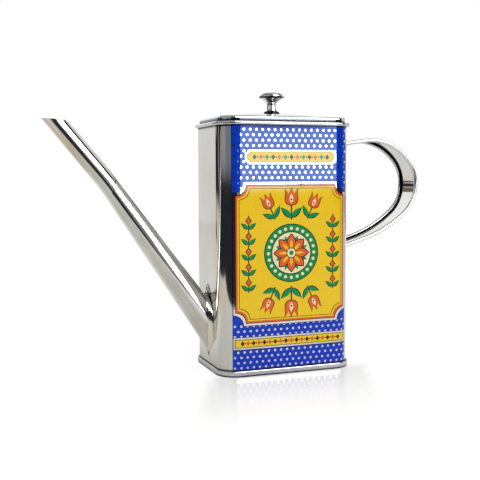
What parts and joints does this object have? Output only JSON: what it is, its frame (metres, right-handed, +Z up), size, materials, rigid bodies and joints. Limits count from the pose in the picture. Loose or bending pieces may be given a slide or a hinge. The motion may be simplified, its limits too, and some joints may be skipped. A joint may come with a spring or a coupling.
{
  "type": "oil tin with spout",
  "caption": "Tall rectangular tinplate oil can with rounded corners, a long slanting spout, a strap handle and a lift-off lid with a turned knob.",
  "frame": {"origin": "middle of the foot seam's underside, on the plane that the tin stands on", "axes": "+Z up; the printed face looks along -Y; the spout points to -X and the handle stands on the +X side"},
  "size_m": [0.2208, 0.055, 0.1571],
  "materials": {
    "tinplate": "polished tinplate, printed on the front",
    "rim_plate": "polished tinplate",
    "spout_plate": "polished tinplate",
    "strap_plate": "polished tinplate",
    "lid_plate": "polished tinplate",
    "knob_metal": "bright turned and plated",
    "fastener": "bright zinc plated",
    "solder": "satin tin solder with a warm tint"
  },
  "bodies": {
    "can": {"body_shell": "tinplate", "base_end": "rim_plate", "top_rim": "rim_plate", "spout_tube": "spout_plate", "spout_solder": "solder", "handle_strap": "strap_plate", "handle_solder": "solder"},
    "lid": {"lid_cover": "lid_plate", "lid_skirt": "lid_plate", "lid_knob": "knob_metal", "knob_washer": "fastener", "knob_screw": "fastener"}
  },
  "joints": [
    {"name": "lid_lift", "type": "slide", "parent": "can", "child": "lid", "axis": [0, 0, 1], "range_m": [0, 0.06]}
  ]
}
